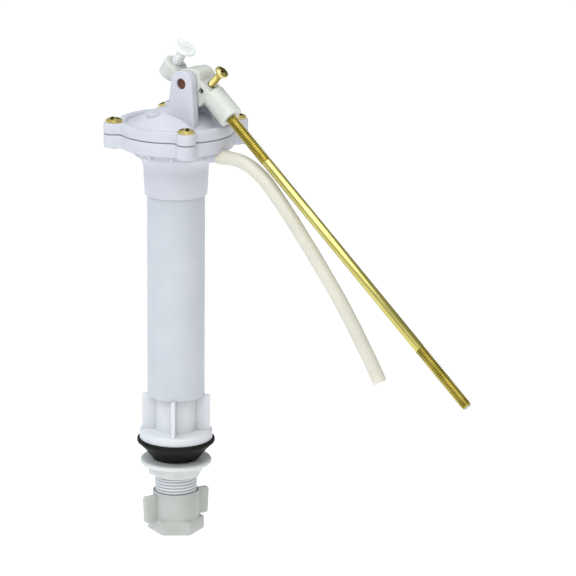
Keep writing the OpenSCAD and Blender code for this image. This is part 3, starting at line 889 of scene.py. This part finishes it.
def make_bonnet():
    ball = (DOME_R**2 + (DOME_TOP - DOME_BASE) ** 2) / (2 * (DOME_TOP - DOME_BASE))
    centre = DOME_TOP - ball
    start = math.degrees(math.asin((DOME_BASE - centre) / ball))
    tower_side = math.degrees(math.acos((TOWER_R + 0.7) / ball))
    under = ball - 2.6
    under_start = math.degrees(math.acos(CAVITY_R / under))
    under_end = math.degrees(math.acos(PLUNGER_BORE / under))
    joint = SPLIT + 0.03
    groove = SPLIT + GROOVE_W / 2
    levels = [("out", GROOVE_DEEP, joint), ("out", GROOVE_DEEP, groove)]
    levels += flange_side(groove, RIM_TOP, 0.15, 0.6)
    levels += [(RIM_INNER_R + 1, RIM_TOP), (RIM_INNER_R + 0.3, RIM_TOP - 0.12),
               (RIM_INNER_R, RIM_TOP - 0.5), (RIM_INNER_R - 0.2, DOME_BASE + 0.5),
               (RIM_INNER_R - 0.6, DOME_BASE + 0.08), (RIM_INNER_R - 1.2, DOME_BASE),
               (DOME_R + 0.6, DOME_BASE + 0.05)]
    levels += arc((0, centre), ball, start + 1.2, tower_side, 22)
    tower_foot = levels[-1][1]
    levels += [(TOWER_R + 0.25, tower_foot + 0.25), (TOWER_R, tower_foot + 0.8),
               (TOWER_R, TOWER_TOP - 0.5), (TOWER_R - 0.15, TOWER_TOP - 0.15),
               (TOWER_R - 0.5, TOWER_TOP), (PLUNGER_BORE + 0.3, TOWER_TOP),
               (PLUNGER_BORE, TOWER_TOP - 0.3)]
    levels += arc((0, centre), under, under_end, under_start, 10)
    levels += [(CAVITY_R, joint)]
    bonnet = stack(head_loops(levels), ring=True)
    ear = holed_plate(ear_outline(), (PIVOT.x, PIVOT.z), PIN_HOLE_R, -EAR_T / 2, EAR_T / 2, 0.45)
    for side in (-1, 1):
        bonnet += ear.moved(Matrix.Translation((0, side * (EAR_INNER + EAR_T / 2), 0)) @ upright())
    button = turned(softened([
        (BUTTON_R, DOME_BASE, 0), (BUTTON_R, BUTTON_TOP, 0.7), (0.3, BUTTON_TOP, 0),
    ]), 40)
    heading = Matrix.Rotation(math.radians(BUTTON_HEADING), 4, "Z")
    bonnet += button.moved(heading @ Matrix.Translation((BUTTON_RING_R, 0, 0)))
    piece("bonnet_cover", bonnet, "valve_body", "head_plastic", ["bonnet"])


def cross_head(radius, height, side, slot_reach, slot_depth):
    """A cross-recessed pan head standing on Z = 0; the recess has tone 1, the near-black brass of painted shade.
    """
    angles = turns(96)
    half_slot = slot_reach * math.tan(math.radians(17))
    round_reach = slot_reach * 1.04
    floor_share = 0.62

    def crown(reach):
        return side + (height - side) * (1 - (reach / radius) ** 2)

    def cross(a):
        x, y = max(abs(math.cos(a)), 1e-6), max(abs(math.sin(a)), 1e-6)
        return max(min(slot_reach / x, half_slot / y), min(half_slot / x, slot_reach / y))

    def ring(reach, z):
        """A loop at angles, from functions of the angle and of the reach there."""
        return [Vector((reach(a) * math.cos(a), reach(a) * math.sin(a), z(reach(a)))) for a in angles]

    rim = [(radius - 0.2, 0), (radius, 0.2), (radius, side * 0.7)]
    loops = [circle(r, z, angles) for r, z in rim]
    for share in (0.985, 0.94, 0.87, 0.78, 0.68):
        if radius * share > round_reach:
            loops.append(circle(radius * share, crown(radius * share), angles))
    for mix in (0.35, 0.8, 1):
        loops.append(ring(lambda a: round_reach * (1 - mix) + cross(a) * mix, crown))
    loops.append(ring(cross, lambda reach: crown(reach) - 0.15))
    loops.append(ring(lambda a: floor_share * cross(a), lambda reach: height - slot_depth))
    head = stack(loops)
    # The recess walls and floor take tone 1: painted shade in the recess
    recess = (len(loops) - 2) * len(angles)
    head.tones[recess:recess + len(angles)] = [1] * len(angles)
    head.tones[-1] = 1
    return head


def make_bonnet_screws():
    tip = edge("bonnet_screws", LOW, Z)
    head = cross_head(radius=4.75, height=SCREW_HEAD_H, side=1.1, slot_reach=3.4, slot_depth=2.4)
    shank = thread(2.35, 1.85, SCREW_PITCH, tip, FLANGE_FOOT + 3, 1.5, 32)
    shank += turned([(1.5, tip), (1.9, tip + 0.3), (1.9, RIM_TOP + 0.1)], 32)
    screws = Shape()
    for turn in (45, 135, 225, 315):
        place = Matrix.Rotation(math.radians(turn), 4, "Z") @ Matrix.Translation((SCREW_RING_R, 0, 0))
        slots = Matrix.Rotation(math.radians(random.uniform(0, 90)), 4, "Z")
        screws += head.moved(place @ Matrix.Translation((0, 0, RIM_TOP)) @ slots)
        screws += shank.moved(place)
    # The cross recesses take the near-black brass: painted shade
    piece("head_screws", screws, "valve_body", "screw_brass", ["bonnet_screws"],
          inner="painted_shade_brass")


def make_lever_pin():
    low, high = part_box("lever_pin")
    half = (high.y - low.y) / 2 / MM
    radius = (high.x - low.x) / 2 / MM
    pin = turned(softened([
        (0.2, -half, 0), (radius, -half, 0.5), (radius, half, 0.5), (0.2, half, 0),
    ]), 48)
    place = Matrix.Translation(PIVOT) @ Matrix.Rotation(math.radians(90), 4, "X")
    piece("pivot_pin", pin.moved(place), "valve_body", "copper_pin", ["lever_pin"])


# ---------------------------------------------------------------- float arm

ROD_MOUNT = next(m for m in frame["record"]["mounts"] if m["name"] == "float_thread")
ROD_WAY = Vector(ROD_MOUNT["axis"]).normalized()
SQUARE_WAY = Vector((-ROD_WAY.z, 0, ROD_WAY.x))
ROD_RISE = 3.4
SOCKET_REACH = 31
ROD_GRIP = 24.4
ROD_LEN = 231
ROD_R = 3.1
COARSE_PITCH = 1.27
CLAMP_U = 9.6


def aimed(place, way):
    """A frame at a place whose Z points that way."""
    return Matrix.Translation(place) @ Vector(way).to_track_quat("Z", "Y").to_matrix().to_4x4()


def on_lever(along, square):
    """A place given along the rod and square to it, from the pivot."""
    return PIVOT + ROD_WAY * along + SQUARE_WAY * square


def make_lever():
    """The CAD lever with its edges and corners softened, as a moulding has them."""
    source = frame["nodes"]["lever"]
    mesh = source.data.copy()
    work = bmesh.new()
    work.from_mesh(mesh)
    bmesh.ops.remove_doubles(work, verts=work.verts, dist=1e-6)
    work.to_mesh(mesh)
    work.free()
    rough = bpy.data.objects.new("lever_rough", mesh)
    bpy.context.scene.collection.objects.link(rough)
    remesh = rough.modifiers.new("remesh", "REMESH")
    remesh.mode = "VOXEL"
    remesh.voxel_size = 0.26 * MM
    smooth = rough.modifiers.new("smooth", "SMOOTH")
    smooth.factor = 0.5
    smooth.iterations = 7
    graph = bpy.context.evaluated_depsgraph_get()
    final = bpy.data.meshes.new_from_object(rough.evaluated_get(graph))
    bpy.data.objects.remove(rough)
    final.name = "float_lever"
    final.materials.clear()
    finish_piece("float_lever", final, "lever", "milky_plastic", ["lever"], sharp=180)


def make_thumb_screw():
    joint = next(j for j in frame["joints"] if j["name"] == "thumb_screw_turn")
    way = Vector(joint["axis"]).normalized()
    place = Vector(joint["pos_m"]) / MM
    disc_r = 6.75
    half_t = 1.25
    dish_z = 0.95
    stem_tip = -19.9
    disc = turned(softened([
        (0.3, -half_t, 0), (disc_r, -half_t, 0.9), (disc_r, half_t, 0.9), (5.3, 1.15, 0.6),
        (4.5, dish_z, 0.6), (0.3, dish_z, 0),
    ], 5), 72)
    screw = disc + thread(2.9, 2.5, COARSE_PITCH, stem_tip, -1.2, 0.3, 48)
    piece("level_screw", screw.moved(aimed(place, way)), "thumb_screw", "screw_plastic", ["thumb_screw"])


def make_rod_set_screw():
    head_foot = 17.1
    tip = ROD_RISE + ROD_R + 0.1
    head = cross_head(radius=3.9, height=2.6, side=1.3, slot_reach=2.6, slot_depth=1.8)
    stem = turned([(1.4, tip), (1.55, tip + 0.1), (1.55, head_foot + 0.3)], 32)
    screw = head.moved(Matrix.Translation((0, 0, head_foot))) + stem
    screw += thread(2.1, 1.5, COARSE_PITCH, tip, head_foot - 0.2, 1.2, 40)
    turn = Matrix.Rotation(math.radians(20), 4, "Z")
    # The cross recess takes the near-black brass: painted shade
    piece("clamp_screw", screw.moved(aimed(on_lever(CLAMP_U, 0), SQUARE_WAY) @ turn), "rod_set_screw",
          "screw_brass", ["rod_set_screw"], inner="painted_shade_brass")


def make_float_rod():
    start = SOCKET_REACH - ROD_GRIP
    upper_thread = 57
    lower_thread = 42
    plain_r = 2.8
    root = 2.35
    place = aimed(on_lever(0, ROD_RISE), ROD_WAY)
    end = start + ROD_LEN
    plain_start = start + upper_thread
    plain_end = end - lower_thread
    bar = turned(softened([
        (0.2, start, 0), (root, start, 0.3), (root, plain_start - 1.4, 0),
        (plain_r, plain_start - 0.6, 0), (plain_r, plain_end + 0.6, 0), (root, plain_end + 1.4, 0),
        (root, end - 0.7, 0), (root - 0.7, end, 0.2), (0.2, end, 0),
    ]), 48)
    rod = piece("rod_bar", bar.moved(place), "lever", "brass", ["float_rod"])
    rod.data.materials.append(MATERIALS["screen_steel"])
    tip = on_lever(end - 0.9, ROD_RISE) * MM
    for face in rod.data.polygons:
        if (face.center - tip).dot(ROD_WAY) > 0:
            face.material_index = 1
    coils = thread(ROD_R, root, COARSE_PITCH, start + 0.1, plain_start, 2.0, 40)
    coils += thread(ROD_R, root, COARSE_PITCH, plain_end, end - 0.5, 2.0, 40)
    # The threads take the darker brass copy: painted shade of the grooves
    piece("rod_threads", coils.moved(place), "lever", "thread_brass_painted_shade")


def dress_inner_nodes():
    """Materials for the CAD pieces that show only through gaps, or from below."""
    looks = {
        "inlet_screen": "screen_steel", "riser_tube": "valve_plastic", "riser_seal": "black_rubber",
        "supply_washer": "black_rubber", "friction_ring": "screw_brass", "seat_insert": "nut_plastic",
        "diaphragm_plate": "valve_plastic", "plunger": "valve_plastic", "plunger_ring": "black_rubber",
    }
    for node, look in looks.items():
        for item in frame["nodes"][node].material_slots:
            item.material = MATERIALS[look]


make_camera()
make_refill_tube()
make_studio()
make_shank()
make_outer_tube()
make_cone_washer()
make_locknut()
make_coupling_nut()
make_upper_body()
make_diaphragm()
make_bonnet()
make_bonnet_screws()
make_lever_pin()
make_lever()
make_thumb_screw()
make_rod_set_screw()
make_float_rod()
dress_inner_nodes()
